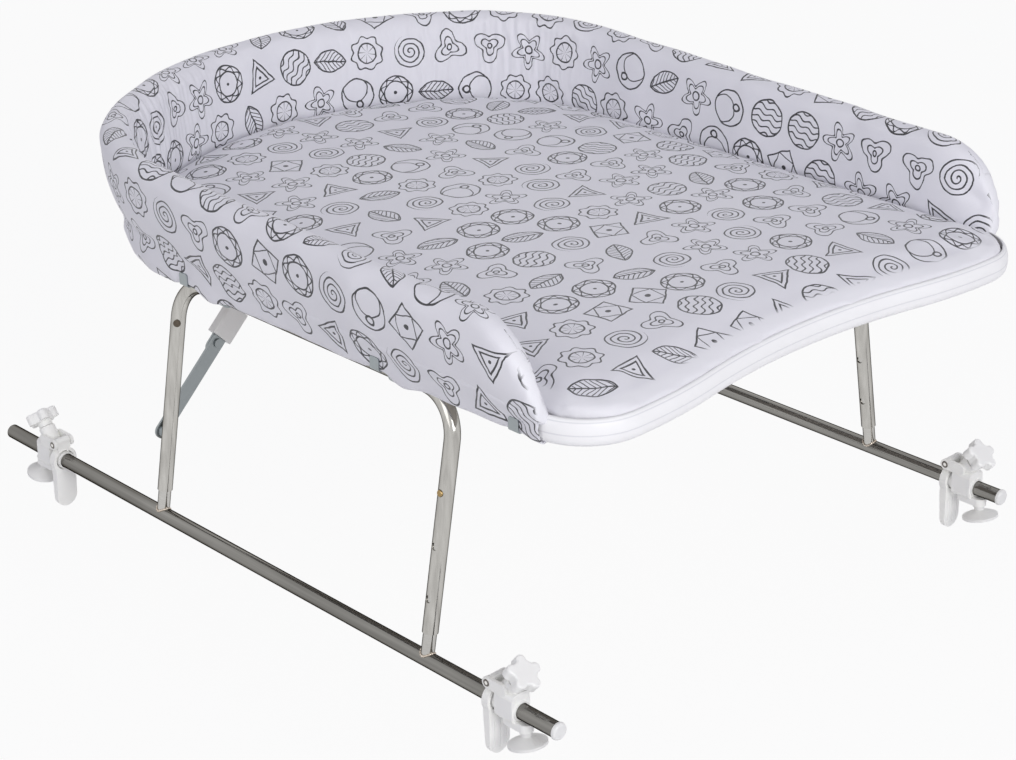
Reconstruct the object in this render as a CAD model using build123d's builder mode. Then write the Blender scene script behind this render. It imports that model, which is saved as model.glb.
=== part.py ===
from build123d import *
from math import acos, atan, atan2, cos, degrees, hypot, radians, sin, sqrt
import os

# Changing table for a bath tub. A padded tray stands on two folding leg frames, and each frame slides on a rail
# that lies across the tub and is clamped to its rim. X runs across the tray, +Y points to its round head end, and
# Z is up from the tips of the clamp jaws. Sizes are in millimetres.

# Rails across the tub
rail_dia = 15.0
rail_wall = 1.2
rail_length = 832.0
rail_spacing = 622.0
jaw_drop = 54.0
cap_head = 4.0
cap_overhang = 0.8
plug_length = 12.0

# Leg frames, bent from tube, and the stub tubes that slide in them
leg_dia = 15.0
leg_wall = 1.0
leg_spacing = 396.0
legs_forward = 52.0
leg_splay = 9.9
leg_end = 26.0
hinge_rise = 242.0
bend_radius = 40.0
stub_dia = 12.7
stub_wall = 1.2
hole_pitch = 50.0
hole_count = 3
top_hole = 159.0
stub_past_button = 22.0
button_dia = 6.6
button_clear = 0.2
button_proud = 1.5
leaf_thick = 0.6
leaf_width = 3.6
leaf_length = 52.0
stop_rivet_dia = 5.0
stop_past_stub = 20.0
rivet_turn = radians(45)

# Tray
board_rise = 259.0
board_thick = 12.0
board_half = 300.0
front_middle = 412.0
front_dip = 24.0
lobe_across = 240.0
front_corner = 60.0
head_reach = 347.0
head_radius = 376.0
head_corner = 186.0
pad_thick = 22.0
pad_crown = 7.0
pad_edge_round = 12.0
trim_thick = 3.0
trim_height = 18.0
soft_gap = 0.3

# Padded rim round three sides of the tray
ridge_out = 10.0
rim_height = 90.0
rim_lean = 1.77
rim_half = 12.0
rim_belly = 8.0
rim_belly_rise = 36.0
rim_shoulder = 70.0
rim_inner_shoulder = 74.0
rim_inner_swell = 3.0
rim_foot_in = 20.0
rim_foot_out = 5.0
rim_tip = 394.0
rim_tip_run = 76.0
rim_tip_girth = 0.55
rim_tip_dip = radians(84)
rim_tip_steps = 6

# Folding stays
bar_width = 16.0
bar_thick = 2.5
bar_gap = 0.4
stay_low = 83.0
stay_bracket_in = 138.0
stay_bracket_drop = 11.0
lower_share = 0.44
lower_past_rivet = 12.0
upper_past_rivet = 13.0
stay_offset = 3.0
spacer_dia = 12.0
pivot_dia = 6.0
pivot_clear = 0.1
sleeve_length = 34.0
sleeve_width = 28.0
sleeve_wall = 2.2
sleeve_clear = 0.4
sleeve_above_rivet = 6.0
ear_thick = 2.2
ear_gap = 0.5
bracket_length = 36.0
bracket_width = 30.0

# Hinge saddles, edge clips and screws under the tray
plate_thick = 2.0
saddle_width = 20.0
saddle_flange = 40.0
hinge_clear = 0.25
saddles_at = (-180.0, 80.0)
clips_at = (-358.0, -183.0, 93.0)
clip_thick = 1.2
clip_width = 12.0
clip_wall = 13.0
clip_flange = 15.0
cover_room = 4.0
screw_dia = 3.5
screw_head = 7.0
screw_head_thick = 2.2
screw_bite = 10.0

# Rim clamps
clamp_clear = 0.2
clamp_wall = 1.5
clamp_inner_end = 7.0
clamp_outer_end = 33.0
block_half = 11.0
block_from = 9.0
block_to = 31.0
block_top = 17.0
block_bottom = 11.0
jaw_thick = 8.0
jaw_width = 24.0
jaw_ring = 14.0
jaw_room = 1.4
jaw_tip_thick = 5.0
knuckle_half = 7.7
knuckle_round = 5.5
jaw_pin_rise = 19.0
jaw_pin_dia = 7.0
cheek_thick = 3.4
cheek_gap = 0.4
screw_slope = 50.0
screw_start = 3.0
boss_dia = 17.0
boss_from = 19.0
boss_to = 36.0
clamp_screw_dia = 6.0
clamp_screw_room = 0.3
knob_gap = 0.6
neck_dia = 15.0
neck_length = 6.0
knob_core = 24.0
knob_lobes = 5
lobe_dia = 10.0
lobe_circle = 12.0
knob_thick = 11.0
foot_out = 37.0
foot_tilt = 12.0
foot_arm_half = 7.0
foot_arm_depth = 8.0
foot_stem_dia = 10.0
foot_stem = 4.0
foot_dia = 36.0
foot_thick = 8.0
foot_rim = 2.5
front_left_clamp = 340.0
front_right_clamp = 355.0
back_clamps = 322.0

# Places worked out from the sizes above
rail_x = rail_spacing / 2
rail_z = jaw_drop
rail_y = (front_middle + front_dip + trim_thick - rail_length / 2) / 2
splay = radians(leg_splay)
leg_run = hinge_rise / cos(splay)
hinge_x = rail_x - hinge_rise * sin(splay) / cos(splay)
hinge_z = rail_z + hinge_rise
board_z = rail_z + board_rise
pad_z = board_z + board_thick
front_leg_y = rail_y - legs_forward - leg_spacing / 2
back_leg_y = rail_y - legs_forward + leg_spacing / 2
stub_top = top_hole + stub_past_button
leg_up = Vector(sin(splay), 0, cos(splay))
leg_out = Vector(-cos(splay), 0, sin(splay))
leg_plane = Plane(origin=(-hinge_x, 0, hinge_z), x_dir=(0, 1, 0), z_dir=-leg_out)
head_angle = degrees(acos(sqrt((head_radius - head_corner) ** 2 - (board_half - head_corner) ** 2)
                          / (head_radius - head_corner)))
spring_y = (rail_y + head_reach - head_radius
            + sqrt((head_radius - head_corner) ** 2 - (board_half - head_corner) ** 2))
dip_angle = 2 * degrees(atan(front_dip / lobe_across))
dip_radii = lobe_across / sin(radians(dip_angle))
wave_share = 0.58


def on_leg(along, y):
    """A point on the left leg frame's tube axis, so far up from the rail."""
    return Vector(-rail_x, y, rail_z) + leg_up * along


def keep(piece, name):
    """Names a finished piece and writes it."""
    piece.label = name
    export_step(piece, f"parts/{name}.step")


def keep_pair(piece, name):
    """Writes a left piece and its mirror image on the right."""
    keep(piece, f"{name}_left")
    with BuildPart() as other:
        mirror(piece, about=Plane.YZ)
    keep(other.part, f"{name}_right")


def tray_outline(inset, front_inset=None):
    """The tray's plan, so far inside the board's edge, with its wavy front another distance inside if one is given."""
    front = inset if front_inset is None else front_inset
    with BuildSketch() as plan:
        with BuildLine():
            dip = JernArc((0, rail_y - front_middle + front), (1, 0), wave_share * dip_radii + front, -dip_angle)
            lobe = JernArc(dip @ 1, dip % 1, (1 - wave_share) * dip_radii - front, dip_angle)
            corner = JernArc(lobe @ 1, lobe % 1, front_corner - inset, 90)
            side = Line(corner @ 1, (board_half - inset, spring_y))
            turn = JernArc(side @ 1, side % 1, head_corner - inset, 90 - head_angle)
            head = JernArc(turn @ 1, turn % 1, head_radius - inset, head_angle)
            Line(head @ 1, dip @ 0)
        make_face()
        mirror(about=Plane.YZ)
    return plan.sketch


os.makedirs("parts", exist_ok=True)

# Base board: a flat panel in the tray's outline, with pilot holes for the screws under it
saddle_screw_x = saddle_flange / 2 - screw_head / 2 - 2
bracket_x = hinge_x - stay_bracket_in
stay_y = back_leg_y + leg_dia / 2 + stay_offset
upper_y = stay_y + bar_thick + bar_gap
bracket_y = upper_y + bar_thick / 2
bracket_screw_x = bracket_length / 2 - screw_head / 2 - 1
screw_places = []
for side in (-1, 1):
    for y in saddles_at:
        for across in (-saddle_screw_x, saddle_screw_x):
            screw_places.append((side * hinge_x + across, rail_y + y))
    for across in (-bracket_screw_x, bracket_screw_x):
        screw_places.append((side * bracket_x + across, bracket_y))

with BuildPart() as base_board:
    add(tray_outline(0))
    extrude(amount=board_thick)
    with Locations(*[(x, y, 0) for x, y in screw_places]):
        Cylinder(screw_dia / 2, screw_bite, align=(Align.CENTER, Align.CENTER, Align.MIN), mode=Mode.SUBTRACT)
with BuildPart() as placed_board:
    with Locations((0, 0, board_z)):
        add(base_board.part)
keep(placed_board.part, "base_board")

# Flat pad: its sides follow the rim's foot and its front the board's edge, its top is crowned and its edge rounded
pad_inset = rim_foot_in - ridge_out + soft_gap
pad_half = board_half - pad_inset
crown_radius = (pad_half ** 2 + pad_crown ** 2) / (2 * pad_crown)
with BuildPart() as pad_blank:
    add(tray_outline(pad_inset, soft_gap))
    extrude(amount=pad_thick + pad_crown)
with BuildPart() as pad:
    with Locations((0, 0, pad_z)):
        add(pad_blank.part)
    with Locations((0, rail_y, pad_z + pad_thick + pad_crown - crown_radius)):
        Cylinder(crown_radius, rail_length * 2, rotation=(90, 0, 0), mode=Mode.INTERSECT)
    fillet(pad.faces().sort_by(Axis.Z)[-1].edges(), pad_edge_round)
keep(pad.part, "pad")

# Padded rim: one roll bent round the head end and swept along its ridge, with each front end drawn down to the
# board in a quarter ellipse and thinned; it rises a little toward the head
tip_y = rail_y - rim_tip


def rim_section(y, rise, girth):
    """The roll's section across the right wall at y, with its height and its thickness drawn in."""
    middle = -(rim_foot_in + rim_foot_out) / 2
    sunk = Vector(0, -2 * board_thick)

    def at(across, up):
        return Vector(middle + (across - middle) * girth, up * rise)

    inner = at(-rim_foot_in, 0)
    outer = at(-rim_foot_out, 0)
    with BuildSketch(Plane(origin=(board_half + ridge_out, y, 0), x_dir=(1, 0, 0), z_dir=(0, -1, 0))) as section:
        with BuildLine():
            Polyline(inner, inner + sunk, outer + sunk, outer)
            wall = ThreePointArc(outer, at(rim_belly, rim_belly_rise), at(rim_half, rim_shoulder))
            top = ThreePointArc(wall @ 1, at(0, rim_height), at(-rim_half, rim_inner_shoulder))
            ThreePointArc(top @ 1, at(rim_inner_swell - rim_foot_in, rim_inner_shoulder / 2), inner)
        make_face()
    return section.sketch


with BuildPart() as rim_roll:
    with BuildLine() as ridge:
        right = Line((board_half + ridge_out, tip_y + rim_tip_run), (board_half + ridge_out, spring_y))
        turn = JernArc(right @ 1, right % 1, head_corner + ridge_out, 90 - head_angle)
        arch = JernArc(turn @ 1, turn % 1, head_radius + ridge_out, 2 * head_angle)
        back_turn = JernArc(arch @ 1, arch % 1, head_corner + ridge_out, 90 - head_angle)
        Line(back_turn @ 1, (-board_half - ridge_out, tip_y + rim_tip_run))
    add(rim_section(tip_y + rim_tip_run, 1, 1))
    sweep(path=ridge.line)
with BuildPart() as rim_end:
    for step in range(rim_tip_steps + 1):
        dip = rim_tip_dip * step / rim_tip_steps
        add(rim_section(tip_y + rim_tip_run * (1 - sin(dip)), cos(dip), 1 - (1 - rim_tip_girth) * sin(dip) ** 4))
    loft()
rim_axis = Axis((0, tip_y, 0), (1, 0, 0))
with BuildPart() as bolster:
    with Locations((0, 0, pad_z + soft_gap)):
        add([piece.rotate(rim_axis, rim_lean) for piece in (rim_roll.part, rim_end.part)])
        add(mirror(rim_end.part, about=Plane.YZ).rotate(rim_axis, rim_lean))
    with BuildSketch(Plane.XY.offset(pad_z + soft_gap)):
        Rectangle(4 * board_half, 4 * rail_length)
    extrude(amount=-rail_length, mode=Mode.SUBTRACT)
keep(bolster.part, "bolster")

# Front edge trim: a soft binding along the wavy front edge, from one rounded corner to the other
with BuildPart() as trim_band:
    add(tray_outline(-trim_thick))
    extrude(amount=trim_height)
    add(tray_outline(0))
    extrude(amount=trim_height, mode=Mode.SUBTRACT)
    with Locations((0, tip_y - soft_gap, 0)):
        Box(4 * board_half, 2 * rail_length, 3 * trim_height, align=(Align.CENTER, Align.MIN, Align.CENTER),
            mode=Mode.SUBTRACT)
    fillet(trim_band.edges().group_by(Axis.Z)[-1], trim_thick / 3)
with BuildPart() as front_edge_trim:
    with Locations((0, 0, board_z)):
        add(trim_band.part)
keep(front_edge_trim.part, "front_edge_trim")

# Edge clips: bent sheet hooks that hold the cover's hem to the board's lower edge, three on each side
clip_out = board_half + cover_room
clip_places = [rail_y + y for y in clips_at]
with BuildPart() as clips_left:
    with BuildSketch(Plane.XZ):
        with BuildLine():
            FilletPolyline((-clip_out + clip_flange, board_z - clip_thick), (-clip_out, board_z - clip_thick),
                           (-clip_out, board_z - clip_thick + clip_wall), radius=2 * clip_thick)
        trace(line_width=clip_thick)
    extrude(amount=clip_width / 2, both=True)
    fillet(clips_left.edges().filter_by(Axis.X).group_by(Axis.Z)[-1], clip_thick * 2)
with BuildPart() as edge_clips:
    with Locations(*[(0, y, 0) for y in clip_places]):
        add(clips_left.part)
    mirror(about=Plane.YZ)
keep(edge_clips.part, "edge_clips")

# Hinge saddles: straps screwed under the board, each with a ring in which a leg frame's top tube turns
ring_out = leg_dia / 2 + hinge_clear + plate_thick
with BuildPart() as saddle:
    with BuildSketch(Plane.XZ):
        with Locations((-hinge_x, hinge_z)):
            Circle(ring_out)
        with Locations((-hinge_x, board_z)):
            Rectangle(ring_out, board_z - hinge_z, align=(Align.CENTER, Align.MAX))
            Rectangle(saddle_flange, plate_thick, align=(Align.CENTER, Align.MAX))
        with Locations((-hinge_x, hinge_z)):
            Circle(leg_dia / 2 + hinge_clear, mode=Mode.SUBTRACT)
    extrude(amount=saddle_width / 2, both=True)
    with Locations((-hinge_x - saddle_screw_x, 0, board_z), (-hinge_x + saddle_screw_x, 0, board_z)):
        Cylinder(screw_dia / 2, 3 * plate_thick, mode=Mode.SUBTRACT)
with BuildPart() as hinge_saddles:
    with Locations(*[(0, rail_y + y, 0) for y in saddles_at]):
        add(saddle.part)
    mirror(about=Plane.YZ)
keep(hinge_saddles.part, "hinge_saddles")

# Stay brackets: a plate under the board with two ears that flank the upper bar
ear_y = bar_thick / 2 + ear_gap
stay_top = Vector(-bracket_x, 0, board_z - stay_bracket_drop)
with BuildPart() as stay_bracket:
    with Locations((-bracket_x, bracket_y, board_z)):
        Box(bracket_length, bracket_width, plate_thick, align=(Align.CENTER, Align.CENTER, Align.MAX))
    for face in (bracket_y + ear_y, bracket_y - ear_y - ear_thick):
        with BuildSketch(Plane.XZ.offset(-face)):
            with Locations((stay_top.X, stay_top.Z)):
                Circle(bar_width / 2 - 1)
                Rectangle(bar_width - 2, stay_bracket_drop, align=(Align.CENTER, Align.MIN))
                Circle(pivot_dia / 2, mode=Mode.SUBTRACT)
        extrude(amount=-ear_thick)
    with Locations((-bracket_x - bracket_screw_x, bracket_y, board_z),
                   (-bracket_x + bracket_screw_x, bracket_y, board_z)):
        Cylinder(screw_dia / 2, 3 * plate_thick, mode=Mode.SUBTRACT)
with BuildPart() as stay_brackets:
    add(stay_bracket.part)
    mirror(about=Plane.YZ)
keep(stay_brackets.part, "stay_brackets")

# Bracket pins: headed pins through the ears
ear_out = ear_y + ear_thick
pin_head = 1.5
with BuildPart() as bracket_pin:
    with BuildSketch(Plane.XZ.offset(-bracket_y + ear_out + pin_head)):
        with Locations((stay_top.X, stay_top.Z)):
            Circle(pivot_dia / 2 + pin_head)
    extrude(amount=-pin_head)
    with BuildSketch(Plane.XZ.offset(-bracket_y + ear_out)):
        with Locations((stay_top.X, stay_top.Z)):
            Circle(pivot_dia / 2)
    extrude(amount=-2 * ear_out - pin_head)
with BuildPart() as bracket_pins:
    add(bracket_pin.part)
    mirror(about=Plane.YZ)
keep(bracket_pins.part, "bracket_pins")

# Screws under the board: pan heads below the plates, shanks through them into the board
with BuildPart() as underside_screws:
    with Locations(*[(x, y, board_z - plate_thick) for x, y in screw_places]):
        Cylinder(screw_dia / 2, screw_bite, align=(Align.CENTER, Align.CENTER, Align.MIN))
        Cylinder(screw_head / 2, screw_head_thick, align=(Align.CENTER, Align.CENTER, Align.MAX))
    fillet(underside_screws.edges().group_by(Axis.Z)[0], screw_head_thick / 2)
keep(underside_screws.part, "underside_screws")

# Leg frames: one tube each, bent to a U that hangs from the hinge line; holes through the front leg take the snap
# button, one hole through the back leg takes the stop rivet
leg_low = leg_end - leg_run
hole_room = button_dia / 2 + button_clear
stop_at = stub_top + stop_past_stub
rivet_plane = Plane(origin=on_leg(stop_at, back_leg_y), x_dir=leg_up,
                    z_dir=leg_out * cos(rivet_turn) - Vector(0, sin(rivet_turn), 0))
with BuildPart() as leg_frame:
    with BuildLine(leg_plane) as leg_path:
        FilletPolyline((front_leg_y, leg_low), (front_leg_y, 0), (back_leg_y, 0), (back_leg_y, leg_low),
                       radius=bend_radius)
    with BuildSketch(Plane(origin=on_leg(leg_end, front_leg_y), z_dir=leg_up)):
        Circle(leg_dia / 2)
        Circle(leg_dia / 2 - leg_wall, mode=Mode.SUBTRACT)
    sweep(path=leg_path.line)
    with BuildSketch(leg_plane):
        with Locations(*[(front_leg_y, top_hole - n * hole_pitch - leg_run) for n in range(hole_count)]):
            Circle(hole_room)
    extrude(amount=leg_dia, both=True, mode=Mode.SUBTRACT)
    with BuildSketch(rivet_plane):
        Circle(stop_rivet_dia / 2)
    extrude(amount=leg_dia, both=True, mode=Mode.SUBTRACT)
keep_pair(leg_frame.part, "leg_frame")

# Stop rivets: cross the back leg aslant above the stub tube and end its travel
rivet_head = 1.2
with BuildPart() as stop_rivet:
    with BuildSketch(rivet_plane):
        Circle(stop_rivet_dia / 2)
    extrude(amount=leg_dia / 2 + rivet_head, both=True)
    for face in (leg_dia / 2, -leg_dia / 2 - rivet_head):
        with BuildSketch(rivet_plane.offset(face)):
            Circle(stop_rivet_dia / 2 + rivet_head)
        extrude(amount=rivet_head)
keep_pair(stop_rivet.part, "stop_rivet")

# Stay spacers: short collars on the back legs that hold the stays off the tube
stay_foot = on_leg(stay_low / cos(splay), back_leg_y)
with BuildPart() as stay_spacer:
    with BuildSketch(Plane.XZ.offset(-back_leg_y)):
        with Locations((stay_foot.X, stay_foot.Z)):
            Circle(spacer_dia / 2)
    extrude(amount=back_leg_y - stay_y + bar_gap)
    with BuildSketch(Plane(origin=on_leg(leg_end, back_leg_y), z_dir=leg_up)):
        Circle(leg_dia / 2)
    extrude(amount=leg_run, mode=Mode.SUBTRACT)
keep_pair(stay_spacer.part, "stay_spacer")

# Rails: straight tubes across the tub
with BuildPart() as rail:
    with BuildSketch(Plane.XZ.offset(-rail_y)):
        with Locations((-rail_x, rail_z)):
            Circle(rail_dia / 2)
            Circle(rail_dia / 2 - rail_wall, mode=Mode.SUBTRACT)
    extrude(amount=rail_length / 2, both=True)
keep_pair(rail.part, "rail")

# Rail end caps: a domed cap on the front end, a flush plug in the back end
front_end = rail_length / 2 - rail_y
with BuildPart() as rail_caps:
    with BuildSketch(Plane.XZ.offset(front_end)):
        with Locations((-rail_x, rail_z)):
            Circle(rail_dia / 2 + cap_overhang)
    extrude(amount=cap_head)
    fillet(rail_caps.edges().group_by(Axis.Y)[0], 0.7 * cap_head)
    with BuildSketch(Plane.XZ.offset(front_end - plug_length), Plane.XZ.offset(front_end - rail_length)):
        with Locations((-rail_x, rail_z)):
            Circle(rail_dia / 2 - rail_wall)
    extrude(amount=plug_length)
keep_pair(rail_caps.part, "rail_caps")

# Stub tubes: stand on the rail, coped to it, and slide in the legs; the front one has a hole for the snap button
button_foot = 1.0
button_at = on_leg(top_hole, front_leg_y)
button_plane = Plane(origin=button_at, x_dir=(0, 1, 0), z_dir=leg_out)
with BuildPart() as stub_tubes:
    for y in (front_leg_y, back_leg_y):
        with BuildSketch(Plane(origin=on_leg(0, y), z_dir=leg_up)):
            Circle(stub_dia / 2)
            Circle(stub_dia / 2 - stub_wall, mode=Mode.SUBTRACT)
        extrude(amount=stub_top)
    with BuildSketch(Plane.XZ.offset(-rail_y)):
        with Locations((-rail_x, rail_z)):
            Circle(rail_dia / 2)
    extrude(amount=rail_length / 2, both=True, mode=Mode.SUBTRACT)
    with BuildSketch(button_plane):
        Circle(hole_room)
    extrude(amount=leg_dia, mode=Mode.SUBTRACT)
keep_pair(stub_tubes.part, "stub_tubes")

# Snap buttons: domed pins that spring out through the stub and the leg and set the height
with BuildPart() as snap_button:
    with BuildSketch(button_plane.offset(button_foot)):
        Circle(button_dia / 2)
    extrude(amount=leg_dia / 2 + button_proud - button_foot)
    fillet(snap_button.edges().sort_by(Axis(button_at, leg_out))[-1], button_dia / 4)
keep_pair(snap_button.part, "snap_button")

# Leaf springs: folded strips inside the front stubs, pressing the snap buttons out
leaf_front = button_foot - leaf_thick / 2
leaf_back = -sqrt((stub_dia / 2 - stub_wall - button_clear) ** 2 - (leaf_width / 2) ** 2) + leaf_thick / 2
leaf_seat = 5.0
with BuildPart() as snap_spring:
    with BuildSketch(Plane(origin=button_at, x_dir=leg_out, z_dir=(0, 1, 0))):
        with BuildLine():
            FilletPolyline((leaf_front, leaf_seat), (leaf_front, -leaf_seat), (leaf_back / 2, -leaf_length),
                           (leaf_back, -leaf_length), (leaf_back, leaf_seat), radius=1.5 * leaf_thick)
        trace(line_width=leaf_thick)
    extrude(amount=leaf_width / 2, both=True)
keep_pair(snap_spring.part, "snap_spring")

# Stay bars: two flat bars riveted together, the lower one bolted to the back leg, the upper one pinned to its
# bracket
stay_line = Vector(stay_top.X - stay_foot.X, 0, stay_top.Z - stay_foot.Z)
stay_dir = stay_line.normalized()
stay_angle = degrees(atan2(stay_dir.Z, stay_dir.X))
knee = Vector(stay_foot.X, 0, stay_foot.Z) + stay_line * lower_share
lower_end = knee + stay_dir * (lower_past_rivet - bar_width / 2)
upper_end = knee - stay_dir * (upper_past_rivet - bar_width / 2)


def flat_bar(start, end, y):
    """A flat bar with round ends about two points, its front face at y."""
    with BuildPart() as bar:
        with BuildSketch(Plane.XZ.offset(-y)):
            with Locations(((start.X + end.X) / 2, (start.Z + end.Z) / 2)):
                SlotCenterToCenter(hypot(end.X - start.X, end.Z - start.Z), bar_width, rotation=stay_angle)
        extrude(amount=-bar_thick)
    return bar.part


def cross_rod(centre, radius, y, length):
    """A round rod along Y from y onward, with its axis through the point."""
    with BuildPart() as rod:
        with BuildSketch(Plane.XZ.offset(-y)):
            with Locations((centre.X, centre.Z)):
                Circle(radius)
        extrude(amount=-length)
    return rod.part


with BuildPart() as stay_lower:
    add(flat_bar(stay_foot, lower_end, stay_y))
    add(cross_rod(knee, pivot_dia / 2 + pivot_clear, stay_y - bar_thick, 3 * bar_thick), mode=Mode.SUBTRACT)
    add(cross_rod(stay_foot, pivot_dia / 2, stay_y - bar_thick, 3 * bar_thick), mode=Mode.SUBTRACT)
keep_pair(stay_lower.part, "stay_lower")

with BuildPart() as stay_upper:
    add(flat_bar(upper_end, stay_top, upper_y))
    add(cross_rod(knee, pivot_dia / 2, upper_y - bar_thick, 3 * bar_thick), mode=Mode.SUBTRACT)
    add(cross_rod(stay_top, pivot_dia / 2 + pivot_clear, upper_y - bar_thick, 3 * bar_thick), mode=Mode.SUBTRACT)
keep_pair(stay_upper.part, "stay_upper")

# Stay rivets: join the bars at the knee, fast in the upper bar and turning in the lower one
knee_head = 1.6
knee_front = stay_y - pivot_clear - knee_head
with BuildPart() as stay_rivet:
    add(cross_rod(knee, pivot_dia / 2, knee_front, upper_y + bar_thick - knee_front))
    add(cross_rod(knee, pivot_dia / 2 + knee_head, knee_front, knee_head))
    add(cross_rod(knee, pivot_dia / 2 + knee_head, upper_y + bar_thick, knee_head))
keep_pair(stay_rivet.part, "stay_rivet")

# Stay bolts: domed heads on the lower bars where they meet the legs
bolt_head = 4.0
bolt_dia = 11.0
with BuildPart() as stay_bolt:
    add(cross_rod(stay_foot, pivot_dia / 2, stay_y, bar_thick))
    add(cross_rod(stay_foot, bolt_dia / 2, stay_y + bar_thick, bolt_head))
    fillet(stay_bolt.edges().sort_by(Axis.Y)[-1], bolt_head / 2)
keep_pair(stay_bolt.part, "stay_bolt")

# Lock sleeves: flat plastic sleeves on the upper bars that slide down over the lower bars' ends
sleeve_middle = knee + stay_dir * (sleeve_above_rivet + sleeve_length / 2)
stack = 2 * bar_thick + bar_gap + 2 * sleeve_clear
sleeve_mid_y = stay_y + bar_thick + bar_gap / 2
with BuildPart() as lock_sleeve:
    with BuildSketch(Plane(origin=(sleeve_middle.X, sleeve_mid_y, sleeve_middle.Z), x_dir=(0, 1, 0),
                           z_dir=(stay_dir.X, 0, stay_dir.Z))):
        RectangleRounded(stack + 2 * sleeve_wall, sleeve_width, sleeve_wall)
        Rectangle(stack, bar_width + 2 * sleeve_clear, mode=Mode.SUBTRACT)
    extrude(amount=sleeve_length / 2, both=True)
keep_pair(lock_sleeve.part, "lock_sleeve")

# Rim clamps, drawn with the rail's axis along Y through the origin and the outer side toward -Y
rail_room = rail_dia / 2 + clamp_clear
collar = rail_room + clamp_wall
slope = radians(screw_slope)
screw_plane = Plane(origin=(0, -screw_start, 0), x_dir=(1, 0, 0), z_dir=(0, -cos(slope), sin(slope)))
tilt = radians(foot_tilt)
foot_axis = Vector(0, -sin(tilt), -cos(tilt))
arm_overlap = 2.0
arm_z = arm_overlap - block_bottom - foot_arm_depth
arm_from = block_from + foot_arm_half + arm_overlap
socket_drop = 1.5
foot_top = Vector(0, -foot_out, arm_z - socket_drop)
foot_plane = Plane(origin=foot_top, x_dir=(1, 0, 0), z_dir=foot_axis)
cheek_reach = 18.0

# Clamp body: collar on the rail, boss for the screw, two cheeks for the jaw's pin and an arm for the foot
with BuildPart() as clamp_body:
    with BuildSketch(Plane.XZ.offset(-clamp_inner_end)):
        Circle(collar)
    extrude(amount=clamp_inner_end + clamp_outer_end)
    with BuildSketch(Plane.XZ.offset(block_from)):
        with Locations((0, (block_top - block_bottom) / 2)):
            RectangleRounded(2 * block_half, block_top + block_bottom, block_half / 2)
    extrude(amount=block_to - block_from)
    with BuildSketch(screw_plane.offset(boss_from)):
        Circle(boss_dia / 2)
    extrude(amount=boss_to - boss_from)
    for face in (knuckle_half + cheek_gap, -knuckle_half - cheek_gap - cheek_thick):
        with BuildSketch(Plane.YZ.offset(face)):
            with Locations((-cheek_reach / 2, jaw_pin_rise)):
                SlotCenterToCenter(cheek_reach, 2 * knuckle_round)
        extrude(amount=cheek_thick)
    with BuildSketch(Plane.XY.offset(arm_z)):
        with Locations((0, -(arm_from + foot_out) / 2)):
            SlotCenterToCenter(foot_out - arm_from, 2 * foot_arm_half, rotation=90)
    extrude(amount=foot_arm_depth)
    with BuildSketch(foot_plane):
        Circle(foot_stem_dia / 2 + 1)
    extrude(amount=-foot_arm_depth / 2)
    with BuildSketch(Plane.XZ.offset(-clamp_inner_end)):
        Circle(rail_room)
    extrude(amount=clamp_inner_end + foot_out + foot_dia, mode=Mode.SUBTRACT)
    with BuildSketch(screw_plane):
        Circle(clamp_screw_dia / 2 + clamp_screw_room)
    extrude(amount=boss_to, mode=Mode.SUBTRACT)
    with BuildSketch(Plane.YZ):
        with Locations((0, jaw_pin_rise)):
            Circle(jaw_pin_dia / 2)
    extrude(amount=2 * block_half, both=True, mode=Mode.SUBTRACT)

# Clamp jaw: a ring round the collar that hangs from the pin, with a tapered tongue inside the tub's rim
groove_width = 3.0
groove_deep = 0.8
groove_pitch = 7.0
with BuildPart() as clamp_jaw:
    with BuildSketch(Plane.XZ):
        Circle(jaw_ring)
        with Locations((0, -jaw_drop + jaw_width / 2)):
            Circle(jaw_width / 2)
            Rectangle(jaw_width, jaw_drop - jaw_width / 2, align=(Align.CENTER, Align.MIN))
        Rectangle(2 * knuckle_half, jaw_pin_rise + knuckle_round, align=(Align.CENTER, Align.MIN))
        Circle(collar + jaw_room, mode=Mode.SUBTRACT)
    extrude(amount=jaw_thick / 2, both=True)
    fillet(clamp_jaw.edges().filter_by(Axis.X).group_by(Axis.Z)[-1], jaw_thick * 0.45)
    with BuildSketch(Plane.YZ):
        Polygon((jaw_thick / 2, -jaw_ring), (jaw_thick / 2, -jaw_drop), (jaw_tip_thick - jaw_thick / 2, -jaw_drop),
                align=None)
    extrude(amount=jaw_width, both=True, mode=Mode.SUBTRACT)
    with BuildSketch(Plane.XZ.offset(jaw_thick / 2)):
        with Locations((0, -(jaw_drop + jaw_ring) / 2)):
            with GridLocations(groove_pitch, 0, 3, 1):
                SlotOverall(jaw_drop - jaw_ring - jaw_width / 2, groove_width, rotation=90)
    extrude(amount=-groove_deep, mode=Mode.SUBTRACT)
    with BuildSketch(Plane.YZ):
        with Locations((0, jaw_pin_rise)):
            Circle(jaw_pin_dia / 2 + pivot_clear)
    extrude(amount=jaw_width, both=True, mode=Mode.SUBTRACT)

# Jaw pin: a plain metal pin whose ends show in the cheeks
pin_proud = 0.4
with BuildPart() as clamp_pin:
    with BuildSketch(Plane.YZ):
        with Locations((0, jaw_pin_rise)):
            Circle(jaw_pin_dia / 2)
    extrude(amount=knuckle_half + cheek_gap + cheek_thick + pin_proud, both=True)
    chamfer(clamp_pin.edges().group_by(Axis.X)[0] + clamp_pin.edges().group_by(Axis.X)[-1], pin_proud / 2)

# Clamp screw: a steel stud that presses on the rail, fast in the knob
knob_from = boss_to + knob_gap + neck_length
screw_tip = (rail_room + clamp_screw_dia / 2 * cos(slope)) / sin(slope)
screw_end = knob_from + knob_thick / 2
with BuildPart() as clamp_screw:
    with BuildSketch(screw_plane.offset(screw_tip)):
        Circle(clamp_screw_dia / 2)
    extrude(amount=screw_end - screw_tip)

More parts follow.
